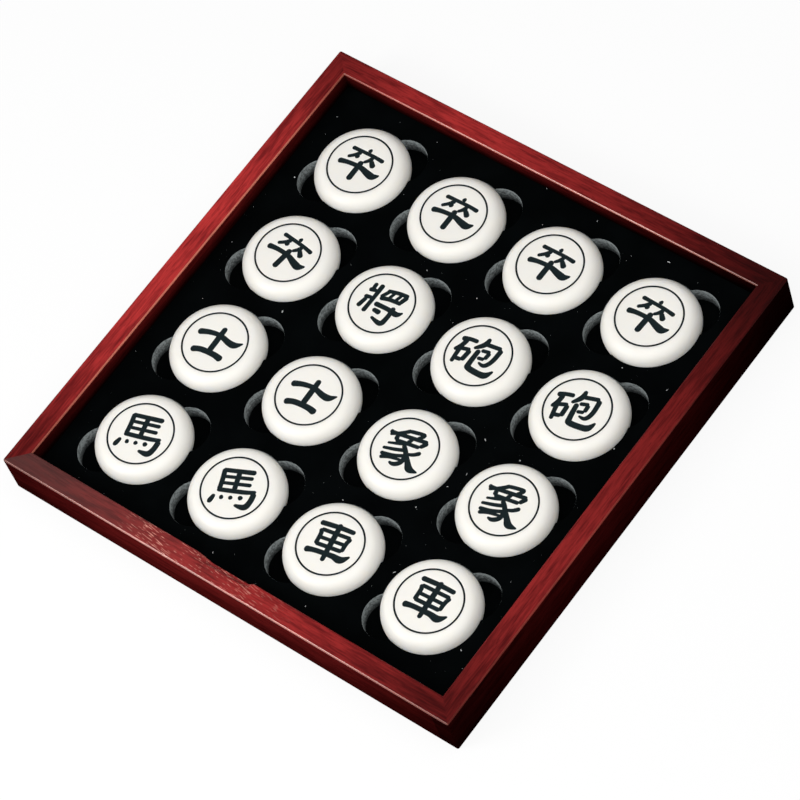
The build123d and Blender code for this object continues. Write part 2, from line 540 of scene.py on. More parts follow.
class LintSettings(bpy.types.PropertyGroup):
    """Dust on the flock."""

    density: share("Density", "Specks on a square metre of flock", 5200.0)
    size: length("Size", "A speck's usual radius", 0.15 * MM)
    seed: count("Seed", "Layout of the specks", 7)
    tint: shade("Tint", "Colour of the dust", (0.70, 0.72, 0.72))


class StageSettings(bpy.types.PropertyGroup):
    """Camera, lamps and floor."""

    azimuth: angle("Azimuth", "Camera heading; 0 looks along +Y", 56.27)
    elevation: angle("Elevation", "Camera height above the horizon", 56.89)
    roll: angle("Roll", "Turn of the camera about its axis", -22.44)
    distance: length("Distance", "Camera to target", 1.6057)
    target: bpy.props.FloatVectorProperty(
        name="Target", description="Point in the middle of the picture",
        default=(0.0, -0.0015, 0.0), subtype="TRANSLATION", unit="LENGTH",
    )
    lens: share("Lens", "Focal length in millimetres on a 36 mm sensor", 184.70)
    key_power: share("Key power", "Watts of the main softbox", 4.2)
    top_power: share("Top power", "Watts of the overhead softbox", 9.4)
    ambient: share("Ambient", "Strength of the even surrounding light", 0.18)
    floor: shade("Floor", "Plain pale floor", (0.92, 0.92, 0.92))
    bounce: shade("Bounce", "What the floor throws back on the tray", (0.20, 0.20, 0.20))


class TraySettings(bpy.types.PropertyGroup):
    """Everything that a user of the tray would change."""

    rails: bpy.props.PointerProperty(type=RailSettings)
    insert: bpy.props.PointerProperty(type=InsertSettings)
    pieces: bpy.props.PointerProperty(type=PieceSettings)
    lint: bpy.props.PointerProperty(type=LintSettings)
    stage: bpy.props.PointerProperty(type=StageSettings)


# ---------------------------------------------------------------- materials
class Grain:
    """The stained wood's pattern, with its grain along X, or along another direction after a turn."""

    # Repeats per metre along the grain, across it and through it.
    BROAD = (14, 60, 60)
    STREAK = (60, 420, 420)
    FIBRE = (120, 1700, 1700)
    PORE = (300, 2400, 2400)

    # Painted shade: the wood darkens towards the far right corner between these two values of x + y.
    FAR_CORNER_FADE = (7 * MM, 250 * MM)

    # How far from a rail's middle the darker ends begin.
    END_DARKENING = 37 * MM

    def __init__(self, surface, settings, turn):
        heading = (0.0, 0.0, turn)
        broad = surface.noise(surface.place(self.BROAD, heading), detail=3.0)
        streak = surface.noise(surface.place(self.STREAK, heading), detail=5.0, roughness=0.6)
        self.fibre = surface.noise(surface.place(self.FIBRE, heading), detail=3.0)
        pore = surface.noise(surface.place(self.PORE, heading), detail=1.0)
        self.pores = surface.ramp(pore, 0.64, 0.72)
        depth = surface.ramp(broad * 0.2 + streak * 0.42 + self.fibre * 0.38, 0.35, 0.62)
        stain = surface.blend(depth, settings.grain, settings.stain)
        stain = surface.blend(self.pores * 0.6, stain, settings.grain)
        spot = surface.add("ShaderNodeSeparateXYZ", None, {"Vector": surface.place()})
        self.x = spot
        self.y = spot.output("Y")
        self.z = spot.output("Z")
        # Painted shade darkens the wood towards the far right corner and towards the near right rails,
        # and the wood is darker towards each rail's ends.
        far_shade = surface.ramp(self.x + self.y + broad * 0.03, *self.FAR_CORNER_FADE)
        painted_falloff = (self.x - self.y) * (settings.painted_falloff / (2 * CAD_BOX[1].x))
        run = surface.add("ShaderNodeSeparateXYZ", None, {"Vector": surface.place(turn=heading)})
        self.mitre = surface.ramp(surface.maths("ABSOLUTE", run), self.END_DARKENING, CAD_BOX[1].x)
        tone = (1 - far_shade * (1 - settings.far_corner_shade)) * (1 - painted_falloff)
        tone = tone * (1 - self.mitre * settings.mitre_darkening)
        self.stain = surface.vector("SCALE", stain, CLEAR, CLEAR, tone)


# Places on the rim: a painted sheen, painted glints in the pores and a painted highlight. Each pair is
# where a place begins and ends to set in or to fade, in x or y.
PAINTED_SHEEN_FADES = (-100 * MM, 50 * MM)
FLECKS_SET_IN = (-56 * MM, -40 * MM)
FLECKS_FADE = (-4 * MM, 38 * MM)
RIGHT_EDGE_FADES = (-40 * MM, 80 * MM)

# The flecks' repeats per metre, and their slant to the grain in radians.
FLECK_GRAIN = (230, 3000, 3000)
FLECK_SLANT = 0.12

# A face is an edge while its normal's Z is under the first value, and level above the second.
LEVEL = (0.90, 0.995)

# An edge begins to face one way at the first value of its normal there, and does at the second.
FACING = (0.2, 0.5)


def satin_wood(name, settings, turn):
    """The rim: a thin satin lacquer with a glossier coat on the edges that face the near side, and
    painted highlights in pale colour on some edges.
    """
    surface = Surface(name)
    wood = Grain(surface, settings, turn)
    # Painted sheen: a greyish reflection painted on the near rail's left end.
    near = surface.maths("ABSOLUTE", wood.x) < 0 - wood.y
    painted_sheen = near * (1 - surface.ramp(wood.x, *PAINTED_SHEEN_FADES)) * (0.35 + wood.fibre * 0.4)
    stain = surface.blend(painted_sheen, wood.stain, settings.painted_sheen)
    # Painted glints: pale flecks in the pores of one stretch of the near rail only, where the grain
    # slants.
    slant = (0.0, 0.0, turn + FLECK_SLANT)
    fleck = surface.noise(surface.place(FLECK_GRAIN, slant), detail=1.0)
    clump = surface.noise(surface.place(), 110.0, 1.0)
    patch = near * (surface.ramp(wood.x, *FLECKS_SET_IN) - surface.ramp(wood.x, *FLECKS_FADE))
    fleck = surface.ramp(fleck + clump * 0.35, 0.80, 0.85) * patch * 0.9
    stain = surface.blend(fleck, stain, settings.fleck)
    tilt = surface.add("ShaderNodeNewGeometry", output="Normal")
    tilt = surface.add("ShaderNodeSeparateXYZ", None, {"Vector": tilt})
    edge = (1 - surface.ramp(tilt.output("Z"), *LEVEL)) * (1 - wood.mitre * 0.6)
    near_edge = edge * surface.ramp(0 - tilt.output("Y"), *FACING)
    # Painted highlight on the left rail's inner edge, and a weaker one on the near half of the right
    # one's outer edge.
    right = (wood.x > 0.0) * (1 - surface.ramp(wood.y, *RIGHT_EDGE_FADES)) * 0.18
    x_edge_highlight = edge * surface.ramp(tilt, *FACING) * ((wood.x < 0.0) + right)
    # Painted highlight: pale colour on the near-facing edges and on the edges facing +X.
    edge_highlight = near_edge * 0.5 + x_edge_highlight * 0.75
    stain = surface.blend(edge_highlight * (0.6 + wood.fibre * 0.6), stain, settings.edge_highlight)
    return surface.cover({
        "Base Color": stain,
        "Roughness": 0.34 + wood.fibre * 0.12 + wood.pores * 0.15,
        "Normal": surface.bump(wood.fibre * 0.5 - wood.pores, 0.2, 0.0001),
        "Specular IOR Level": 0.03,
        "Coat Weight": near_edge,
        "Coat IOR": 1.8,
        "Coat Roughness": 0.28,
    })


def matte_wood(name, settings, turn):
    """The rails' side faces: matte, with painted shade that darkens them, most towards the foot, inside
    the tray and on the right rail's outer face.
    """
    surface = Surface(name)
    wood = Grain(surface, settings, turn)
    across = surface.maths("ABSOLUTE", wood.x)
    along = surface.maths("ABSOLUTE", wood.y)
    # Painted shade: darker towards the foot, inside the tray and on the right rail's outer face.
    inside = surface.maths("MAXIMUM", across, along) < INSERT_SIZE.x / 2 + MM
    outer = surface.ramp(wood.z, CAD_BOX[0].z, CAD_BOX[1].z)
    inner = surface.ramp(wood.z, INSERT_TOP - MM, CAD_BOX[1].z)
    right = wood.x > INSERT_SIZE.x / 2 + MM
    outer = settings.side_foot + outer * (settings.side_top - settings.side_foot)
    outer = outer * (1 - right * settings.right_side)
    depth = outer * (1 - inside) + inner * inside * settings.inner_top
    return surface.cover({
        "Base Color": surface.vector("SCALE", wood.stain, CLEAR, CLEAR, depth),
        "Roughness": 0.6 + wood.fibre * 0.15,
        "Normal": surface.bump(wood.fibre * 0.5 - wood.pores, 0.25, 0.0001),
        "Specular IOR Level": 0.0,
    })


def flock(name, shade_of):
    """Short black velvet."""
    surface = Surface(name)
    pile = surface.noise(surface.place(), 2600.0, 2.0)
    patch = surface.noise(surface.place(), 60.0, 2.0)
    tone = surface.blend(surface.ramp(patch, 0.3, 0.75), [each * 0.6 for each in shade_of], shade_of)
    return surface.cover({
        "Base Color": tone,
        "Roughness": 0.95,
        "Specular IOR Level": 0.0,
        "Sheen Weight": 0.012,
        "Sheen Roughness": 0.4,
        "Normal": surface.bump(pile, 0.6, 0.0002),
    })


def cut_foam(name, settings):
    """The foam's cut wall, dusty under the flocked edge, with painted shade that darkens it towards the
    pad.
    """
    surface = Surface(name)
    height = surface.add("ShaderNodeSeparateXYZ", None, {"Vector": surface.place()}, "Z")
    # Painted shade: the wall is darker towards the pad.
    pad_shade = surface.ramp(height, INSERT_LOW.z - INSERT_SIZE.z / 4, INSERT_TOP)
    grain = surface.noise(surface.place(), 900.0, 3.0, 0.7)
    tone = pad_shade * (0.5 + surface.ramp(grain, 0.38, 0.66))
    return surface.cover({
        "Base Color": surface.blend(tone, settings.flock, settings.foam),
        "Roughness": 0.9,
        "Specular IOR Level": 0.1,
        "Normal": surface.bump(grain, 0.5, 0.0002),
    })


def matte_panel(name, shade_of):
    """Thin stained panel without lacquer."""
    surface = Surface(name)
    streak = surface.noise(surface.place((10, 260, 260)), detail=4.0, roughness=0.6)
    fibre = surface.noise(surface.place((70, 2600, 2600)), detail=2.0)
    tone = surface.ramp(streak * 0.7 + fibre * 0.3, 0.35, 0.65)
    return surface.cover({
        "Base Color": surface.blend(tone, [each * 0.45 for each in shade_of], shade_of),
        "Roughness": 0.6 + fibre * 0.15,
        "Normal": surface.bump(fibre, 0.3, 0.0001),
    })


def melamine(name, settings):
    """Satin warm white melamine, which light enters a little."""
    surface = Surface(name)
    cloud = surface.noise(surface.place(), 90.0, 3.0)
    sheen = surface.noise(surface.place(), 400.0, 2.0)
    body = settings.body
    return surface.cover({
        "Base Color": surface.blend(cloud * 0.35, body, [each * 0.94 for each in body]),
        "Roughness": 0.36 + sheen * 0.1,
        "Normal": surface.bump(cloud, 0.04, 0.0002),
        "Subsurface Weight": 0.8,
        "Subsurface Radius": (1.0, 0.95, 0.85),
        "Subsurface Scale": settings.glow,
    })


def paint(name, shade_of):
    """Matte black paint, wiped into the engraving."""
    surface = Surface(name)
    brush = surface.noise(surface.place(), 1500.0, 3.0)
    return surface.cover({
        "Base Color": surface.blend(brush, shade_of, [each * 1.8 for each in shade_of]),
        "Roughness": 0.55 + brush * 0.2,
        "Specular IOR Level": 0.08,
        "Normal": surface.bump(brush, 0.2, 0.0001),
    })


def dust(name, shade_of):
    """Pale lint."""
    surface = Surface(name)
    fluff = surface.noise(surface.place(), 4000.0, 1.0)
    tone = surface.blend(fluff, shade_of, [each * 0.4 for each in shade_of])
    return surface.cover({"Base Color": tone, "Roughness": 0.9, "Specular IOR Level": 0.1})


# ---------------------------------------------------------------- rails
def rail_section(settings, width, height):
    """The rail's outline as (inward, up) points, from the rebate round the outside."""
    rebate_top = PANEL_LOW.z + PANEL_SIZE.z
    rebate = CAD_BOX[1].x - (PANEL_LOW.x + PANEL_SIZE.x) - settings.panel_fit
    rim = settings.rim_round
    foot = settings.foot_round
    ease = rim / 3
    quarter = math.pi / 2
    points = [Vector((rebate, rebate_top)), Vector((rebate, 0)), Vector((foot + ease, 0))]
    points += arc(Vector((foot, foot)), foot, 3 * quarter, 2 * quarter, foot / 4)
    points += [Vector((0, foot)), Vector((0, foot + ease)), Vector((0, height - rim - ease))]
    points += arc(Vector((rim, height - rim)), rim, 2 * quarter, quarter, rim / 6)
    points += [Vector((rim, height)), Vector((rim + ease, height))]
    points += [Vector((width - settings.chip_reach, height)), Vector((width - rim - ease, height))]
    points += arc(Vector((width - rim, height - rim)), rim, quarter, 0, rim / 6)
    points += [Vector((width, height - rim)), Vector((width, height - rim - ease))]
    points += [Vector((width, rebate_top))]
    return points


def rail_stations(settings):
    """Places along a rail from one mitre to the other.

    Each is (share of the straight part, turn round the frame's outer corner).
    """
    turns = [math.radians(each) for each in (15, 30, 45)]
    steps = settings.segments
    straight = [(2 * index / steps - 1, 0.0) for index in range(steps + 1)]
    return [(-1.0, each) for each in reversed(turns)] + straight + [(1.0, each) for each in turns]


def chip_depth(settings, run):
    """Share of the chip's full depth: a slope at its start, and a step at its end."""
    slope_share = 1 / 4
    step_share = 1 / 10
    part = (run - settings.chip_start) / (settings.chip_end - settings.chip_start)
    return max(0.0, min(1.0, part / slope_share, (1 - part) / step_share))


# The sanding's repeats per metre along a rail, across it and up it, and its shift from rail to rail.
SANDING = Vector((45, 300, 150))
SANDING_SHIFT = 7


def rail_mesh(name, settings, heading):
    """One rail with 45 degree ends, rounded outer corners and slightly uneven edges."""
    low, size = node_size(name)
    width = min(size.x, size.y)
    reach = CAD_BOX[1].x
    corner = settings.rim_round
    section = rail_section(settings, width, size.z)
    middle = Vector((width / 2, size.z / 2))
    outward = Vector((math.cos(heading), math.sin(heading), 0))
    along = Vector((-outward.y, outward.x, 0))
    shape = bmesh.new()

    def vertex(point, station, inset):
        """The section's point at a station, moved towards the rail's middle by the inset."""
        part, turn = station
        near = max(0.0, 1 - point.x / corner)
        straight = reach - point.x - corner * (near * (1 - math.cos(math.pi / 4)) + math.sin(math.pi / 4))
        run = part * straight + math.copysign(corner * math.sin(turn), part) * (turn > 0)
        inward = point.x + corner * near * (1 - math.cos(turn))
        sanded = Vector((run, point.x, point.y)) * SANDING + Vector((0, heading * SANDING_SHIFT, 0))
        worn = noise.noise(sanded)
        pull = (middle - point).normalized() * (inset + settings.unevenness * abs(worn))
        if name == "rail_front" and point.x > width - settings.chip_reach and point.y > size.z / 2:
            depth = chip_depth(settings, run)
            pull -= Vector((settings.chip_inset, settings.chip_drop)) * depth
        place = outward * (reach - inward - pull.x) + along * run
        return shape.verts.new((place.x, place.y, point.y + pull.y))

    stations = rail_stations(settings)
    ends = (stations[0], stations[-1])
    rings = [[vertex(point, ends[0], settings.mitre_ease) for point in section]]
    rings += [[vertex(point, station, 0.0) for point in section] for station in stations]
    rings += [[vertex(point, ends[1], settings.mitre_ease) for point in section]]
    for first, second in zip(rings, rings[1:]):
        for index in range(len(section)):
            after = (index + 1) % len(section)
            shape.faces.new((first[index], first[after], second[after], second[index]))
    shape.faces.new(rings[0])
    shape.faces.new(rings[-1])
    bmesh.ops.recalc_face_normals(shape, faces=shape.faces)
    for face in shape.faces:
        face.material_index = 0 if face.normal.z > 0.15 else 1
    mesh = bpy.data.meshes.new(name)
    shape.to_mesh(mesh)
    shape.free()
    soften(mesh, math.radians(35))
    return mesh


class ChessTrayRails(bpy.types.Operator):
    """Makes the four mitred rails of stained wood"""

    bl_idname = "chess_tray.rails"
    bl_label = "Rails"

    def execute(self, context):
        settings = context.scene.chess_tray.rails
        woods = {}
        for grain, heading, turn in (("across", 0, math.pi / 2), ("along", 90, 0.0)):
            rim = satin_wood(f"rim_wood_{grain}", settings, turn)
            side = matte_wood(f"side_wood_{grain}", settings, turn)
            woods[heading] = (rim, side)
        for name, heading in RAILS.items():
            mesh = rail_mesh(name, settings, math.radians(heading))
            for wood in woods[heading % 180]:
                mesh.materials.append(wood)
            show(f"wooden_{name}", mesh, "tray", "stained_wood", name)
        return {"FINISHED"}


# ---------------------------------------------------------------- insert, pad and panel
def pocket_outline(settings):
    """A pocket with two finger notches opposite each other, counter-clockwise."""
    step = 0.35 * MM
    pocket = PIECE_RADIUS + settings.pocket_clearance
    tongue = settings.tongue_round
    notch = Vector((pocket - settings.notch_inset, 0))
    reach = pocket + tongue
    across = (reach ** 2 - (settings.notch_radius + tongue) ** 2 + notch.x ** 2) / (2 * notch.x)
    tip = Vector((across, math.sqrt(reach ** 2 - across ** 2)))
    wide = math.atan2(tip.y, tip.x - notch.x)
    narrow = math.atan2(tip.y, tip.x)
    half = arc(notch, settings.notch_radius, -wide, wide, step)
    half += arc(tip, tongue, wide + math.pi, narrow + math.pi, step / 2)
    half += arc(Vector((0, 0)), pocket, narrow, math.pi - narrow, step)
    half += arc(Vector((-tip.x, tip.y)), tongue, -narrow, -wide, step / 2)
    turns = (settings.notch_heading, settings.notch_heading + math.pi)
    spun = [Matrix.Rotation(turn, 2) @ point for turn in turns for point in half]
    return [(point.x, point.y, 1.0) for point in spun]


def edge_profile(settings):
    """The foam's soft upper edge and its wall, as (into the foam, down) points."""
    edge = settings.edge_round
    points = [Vector((edge, 0))] + arc(Vector((edge, edge)), edge, -math.pi / 2, -math.pi, edge / 6)[1:]
    points += [Vector((0, edge)), Vector((0, edge * 1.3)), Vector((0, INSERT_SIZE.z))]
    return [(point.x, point.y, 1.0) for point in points]


def insert_growth():
    """The tree that lays out the pockets, gives them their walls and closes the sheet."""
    growth = Growth("flocked_insert", {
        "Pocket": "Object", "Edge": "Object", "Columns": "Int", "Rows": "Int", "Pitch": "Float",
        "Length": "Float", "Depth": "Float", "Corner": "Float", "Top": "Float",
        "Thickness": "Float", "Wall Top": "Float", "Flock": "Material", "Foam": "Material",
    })
    hair = 2e-6
    grid = growth.add("GeometryNodeMeshGrid", None, {
        "Size X": growth.given("Pitch") * (growth.given("Columns") - 1),
        "Size Y": growth.given("Pitch") * (growth.given("Rows") - 1),
        "Vertices X": growth.given("Columns"), "Vertices Y": growth.given("Rows"),
    })
    dots = growth.add("GeometryNodeInstanceOnPoints", None,
                      {"Points": grid, "Instance": growth.curve("Pocket")})
    pockets = growth.add("GeometryNodeRealizeInstances", None, {"Geometry": dots})
    sheet = growth.add("GeometryNodeCurvePrimitiveQuadrilateral", None,
                       {"Width": growth.given("Length"), "Height": growth.given("Depth")})
    sheet = growth.add("GeometryNodeFilletCurve", {"mode": "POLY"},
                       {"Curve": sheet, "Radius": growth.given("Corner"), "Count": 8})
    outlines = growth.add("GeometryNodeJoinGeometry", None, {"Geometry": [pockets, sheet]})
    outlines = growth.add("GeometryNodeSetCurveNormal", {"mode": "Z_UP"}, {"Curve": outlines})
    walls = growth.add("GeometryNodeCurveToMesh", None,
                       {"Curve": outlines, "Profile Curve": growth.curve("Edge")})
    spot = growth.add("GeometryNodeInputPosition")
    height = growth.add("ShaderNodeSeparateXYZ", None, {"Vector": spot}, "Z")
    below = growth.given("Thickness")
    upper = growth.add("GeometryNodeMeshToCurve", None,
                       {"Mesh": walls, "Selection": height > -hair})
    lower = growth.add("GeometryNodeMeshToCurve", None,
                       {"Mesh": walls, "Selection": height < hair - below})
    face = growth.add("GeometryNodeFillCurve", {"mode": "TRIANGLES"}, {"Curve": upper})
    back = growth.add("GeometryNodeFillCurve", {"mode": "TRIANGLES"}, {"Curve": lower})
    back = growth.add("GeometryNodeFlipFaces", None, {"Mesh": back})
    back = growth.move(back, {"Translation": growth.up(0 - below)})
    whole = growth.add("GeometryNodeJoinGeometry", None, {"Geometry": [walls, face, back]})
    whole = growth.add("GeometryNodeMergeByDistance", None, {"Geometry": whole, "Distance": hair})
    whole = growth.move(whole, {"Translation": growth.up(growth.given("Top"))})
    growth.end(whole, [("Flock", None), ("Foam", height < growth.given("Wall Top"))])
    return growth


class ChessTrayInsert(bpy.types.Operator):
    """Makes the flocked insert, and finishes the pad and the panel under it"""

    bl_idname = "chess_tray.insert"
    bl_label = "Insert, pad and panel"

    def execute(self, context):
        settings = context.scene.chess_tray.insert
        velvet = flock("black_flock", settings.flock)
        pocket = line_object("pocket_outline", [pocket_outline(settings)], closed=True)
        edge = line_object("edge_profile", [edge_profile(settings)])
        mesh = insert_growth().grow("insert", {
            "Pocket": pocket, "Edge": edge, "Columns": settings.columns, "Rows": settings.rows,
            "Pitch": PITCH, "Length": INSERT_SIZE.x, "Depth": INSERT_SIZE.y,
            "Corner": settings.corner_round, "Top": INSERT_TOP, "Thickness": INSERT_SIZE.z,
            "Wall Top": INSERT_TOP - settings.edge_round / 2, "Flock": velvet,
            "Foam": cut_foam("cut_foam", settings),
        })
        for outline in (pocket, edge):
            bpy.data.objects.remove(outline)
        soften(mesh, math.radians(40))
        show("flocked_insert", mesh, "tray", "flocked_foam", "pocket_insert")
        repaint("floor_pad", velvet)
        repaint("base_panel", matte_panel("matte_panel", settings.panel))
        return {"FINISHED"}


# ---------------------------------------------------------------- playing pieces
def piece_growth():
    """The tree that turns a piece, and engraves its ring and its strokes."""
    growth = Growth("playing_piece", {
        "Strokes": "Object", "Radius": "Float", "Height": "Float", "Sides": "Int", "Bands": "Int",
        "Ring Radius": "Float", "Ring Width": "Float", "Ring Lift": "Float",
        "Groove Depth": "Float", "Step": "Float", "Body": "Material", "Paint": "Material",
    })
    height = growth.given("Height")
    edge = height / 2
    turned = growth.add("GeometryNodeMeshCylinder", {"fill_type": "NGON"}, {
        "Vertices": growth.given("Sides"), "Side Segments": growth.given("Bands"),
        "Radius": 1.0, "Depth": 1.0,
    }, "Mesh")
    spot = growth.add("GeometryNodeInputPosition")
    parts = growth.add("ShaderNodeSeparateXYZ", None, {"Vector": spot})
    swing = parts.output("Z") * math.pi
    wide = growth.given("Radius") - edge + edge * growth.maths("COSINE", swing)
    rounded = growth.add("ShaderNodeCombineXYZ", None, {
        "X": parts * wide, "Y": parts.output("Y") * wide,
        "Z": edge + edge * growth.maths("SINE", swing),
    })
    turned = growth.add("GeometryNodeSetPosition", None, {"Geometry": turned, "Position": rounded})

    ring = growth.add("GeometryNodeCurvePrimitiveCircle", None,
                      {"Resolution": growth.given("Sides"), "Radius": growth.given("Ring Radius")})
    tool = growth.add("GeometryNodeCurvePrimitiveCircle", None,
                      {"Resolution": 14, "Radius": growth.given("Ring Width") / 2})
    groove = growth.add("GeometryNodeCurveToMesh", None, {"Curve": ring, "Profile Curve": tool})
    groove = growth.move(groove, {"Translation": growth.up(height - growth.given("Ring Lift"))})

    brush = growth.add("GeometryNodeCurveSplineType", {"spline_type": "CATMULL_ROM"},
                       {"Curve": growth.curve("Strokes")})
    brush = growth.add("GeometryNodeResampleCurve", {"mode": "LENGTH"},
                       {"Curve": brush, "Length": growth.given("Step")})
    brush = growth.add("GeometryNodeSetCurveNormal", {"mode": "Z_UP"}, {"Curve": brush})
    radius = growth.add("GeometryNodeInputRadius")
    reached = growth.add("GeometryNodeSplineParameter", output="Length")
    whole = growth.add("GeometryNodeSplineLength")
    to_tip = growth.maths("MINIMUM", reached, whole - reached)
    shy = growth.maths("DIVIDE", radius - to_tip, radius, clamp=True)
    tip = growth.maths("SQRT", 1 - shy * shy * 0.999)
    section = growth.add("GeometryNodeCurvePrimitiveCircle", None, {"Resolution": 12, "Radius": 1.0})
    strokes = growth.add("GeometryNodeCurveToMesh", None, {
        "Curve": brush, "Profile Curve": section, "Scale": radius * tip, "Fill Caps": True,
    })
    shallow = growth.add("ShaderNodeCombineXYZ", None,
                         {"X": 1.0, "Y": 1.0, "Z": growth.given("Groove Depth")})
    strokes = growth.move(strokes, {"Translation": growth.up(height), "Scale": shallow})

    cutters = growth.add("GeometryNodeJoinGeometry", None, {"Geometry": [groove, strokes]})
    carved = growth.add("GeometryNodeMeshBoolean", {"operation": "DIFFERENCE", "solver": "EXACT"},
                        {"Mesh 1": turned, "Mesh 2": cutters, "Self Intersection": True})
    spread = growth.vector("LENGTH", growth.vector("MULTIPLY", spot, (1, 1, 0)), output="Value")
    rim = growth.given("Ring Radius") + growth.given("Ring Width")
    top = parts.output("Z")
    skin = 3e-6
    inked = (spread < rim) * (top < height - skin) * (top > height / 2)
    growth.end(carved, [("Body", None), ("Paint", inked)])
    return growth


class ChessTrayPieces(bpy.types.Operator):
    """Makes the sixteen engraved pieces in their pockets"""

    bl_idname = "chess_tray.pieces"
    bl_label = "Playing pieces"

    def execute(self, context):
        settings = context.scene.chess_tray.pieces
        growth = piece_growth()
        white = melamine("white_melamine", settings)
        black = paint("black_paint", settings.paint)
        for rank, (mark, turns) in RANKS.items():
            lines = [[(x * MM, y * MM, wide * MM / 2) for x, y, wide in line] for line in mark]
            strokes = line_object("strokes", lines)
            mesh = growth.grow(rank, {
                "Strokes": strokes, "Radius": PIECE_RADIUS, "Height": PIECE_HEIGHT,
                "Sides": settings.sides, "Bands": settings.bands,
                "Ring Radius": settings.ring_radius, "Ring Width": settings.ring_width,
                "Ring Lift": settings.ring_lift, "Groove Depth": settings.groove_depth,
                "Step": settings.stroke_step, "Body": white, "Paint": black,
            })
            bpy.data.objects.remove(strokes)
            soften(mesh, math.radians(35))
            for index, turn in enumerate(turns):
                node = rank if len(turns) == 1 else f"{rank}_{index + 1}"
                middle = node_middle(node)
                place = Matrix.Translation((middle.x, middle.y, PIECE_LOW.z))
                copy = mesh.copy()
                copy.transform(place @ Matrix.Rotation(math.radians(turn), 4, "Z"))
                show(f"engraved_{node}", copy, f"{node}_body", "white_melamine", node)
            bpy.data.meshes.remove(mesh)
        return {"FINISHED"}


# ---------------------------------------------------------------- lint
def lint_growth():
    """The tree that scatters specks of dust over the flock's upper face."""
    growth = Growth("lint", {
        "Density": "Float", "Size": "Float", "Seed": "Int", "Dust": "Material",
    })
    normal = growth.add("GeometryNodeInputNormal")
    level = growth.add("ShaderNodeSeparateXYZ", None, {"Vector": normal}, "Z") > 0.99
    # Dust gathers in places and is thin in others.
    cluster = growth.add("ShaderNodeTexNoise", None, {"Scale": 26.0, "Detail": 1.0})
    cluster = growth.ramp(cluster, 0.45, 0.72)
    points = growth.add("GeometryNodeDistributePointsOnFaces", None, {
        "Mesh": growth.given("Geometry"), "Selection": level,
        "Density": growth.given("Density") * (0.5 + cluster * 5), "Seed": growth.given("Seed"),
    })
    speck = growth.add("GeometryNodeMeshIcoSphere", None,
                       {"Radius": growth.given("Size"), "Subdivisions": 1})
    turn = growth.add("FunctionNodeRandomValue", {"data_type": "FLOAT_VECTOR"},
                      {"Min": CLEAR, "Max": (0.0, 0.0, math.tau), "Seed": 3})
    large = growth.add("FunctionNodeRandomValue", {"data_type": "FLOAT"},
                       {"Min": 0.0, "Max": 1.0, "Seed": 5}, "Value")
    # A high power, so that most specks are small and a few are large.
    large = 0.3 + growth.maths("POWER", large, 9.0) * 3.2
    stretch = growth.add("FunctionNodeRandomValue", {"data_type": "FLOAT_VECTOR"},
                         {"Min": (0.7, 0.4, 0.5), "Max": (2.4, 1.0, 0.8), "Seed": 9})
    specks = growth.add("GeometryNodeInstanceOnPoints", None, {
        "Points": points, "Instance": speck, "Rotation": turn,
        "Scale": growth.vector("SCALE", stretch, CLEAR, CLEAR, large),
    })
    growth.end(specks, [("Dust", None)])
    return growth


class ChessTrayLint(bpy.types.Operator):
    """Scatters a little dust over the flock"""

    bl_idname = "chess_tray.lint"
    bl_label = "Lint"

    def execute(self, context):
        settings = context.scene.chess_tray.lint
        ground = bpy.data.objects["flocked_insert"].data.copy()
        mesh = lint_growth().grow("lint", {
            "Density": settings.density, "Size": settings.size, "Seed": settings.seed,
            "Dust": dust("dust", settings.tint),
        }, ground)
        show("lint", mesh, "tray", "flocked_foam")
        return {"FINISHED"}


# ---------------------------------------------------------------- stage
FLOOR_REACH = 4.0
FLOOR_GAP = 0.05 * MM

# Share of plain white in the floor as it is seen, so that the rest shows the tray's shadow.
FLOOR_GLOW = 0.88


def heading_vector(azimuth, elevation):
    """From the tray towards a camera or lamp; azimuth 0 is the near side and 90 the right."""
    level = math.cos(elevation)
    return Vector((math.sin(azimuth) * level, -math.cos(azimuth) * level, math.sin(elevation)))


def add_camera(settings):
    """The camera at the photograph's viewing angle."""
    back = heading_vector(settings.azimuth, settings.elevation)
    level = Vector((0, 0, 1)).cross(back).normalized()
    right = level * math.cos(settings.roll) + back.cross(level) * math.sin(settings.roll)
    turn = Matrix((right, back.cross(right), back)).transposed().to_4x4()
    lens = bpy.data.cameras.new("camera")
    lens.lens = settings.lens
    camera = bpy.data.objects.new("camera", lens)
    camera.matrix_world = Matrix.Translation(Vector(settings.target) + back * settings.distance) @ turn
    bpy.context.scene.collection.objects.link(camera)
    bpy.context.scene.camera = camera


def add_softbox(name, azimuth, elevation, distance, size, power):
    """A square area lamp that faces the tray."""
    lamp = bpy.data.lights.new(name, "AREA")
    lamp.size = size
    lamp.energy = power
    toward = heading_vector(math.radians(azimuth), math.radians(elevation))
    result = bpy.data.objects.new(name, lamp)
    turn = toward.to_track_quat("Z", "Y").to_matrix().to_4x4()
    result.matrix_world = Matrix.Translation(toward * distance) @ turn
    bpy.context.scene.collection.objects.link(result)


def seen_directly(graph):
    """1 for rays that show the background: camera, glossy and transmission rays."""
    path = graph.add("ShaderNodeLightPath")
    seen = path.output("Is Camera Ray") + path.output("Is Glossy Ray")
    return graph.maths("ADD", seen, path.output("Is Transmission Ray"), clamp=True)


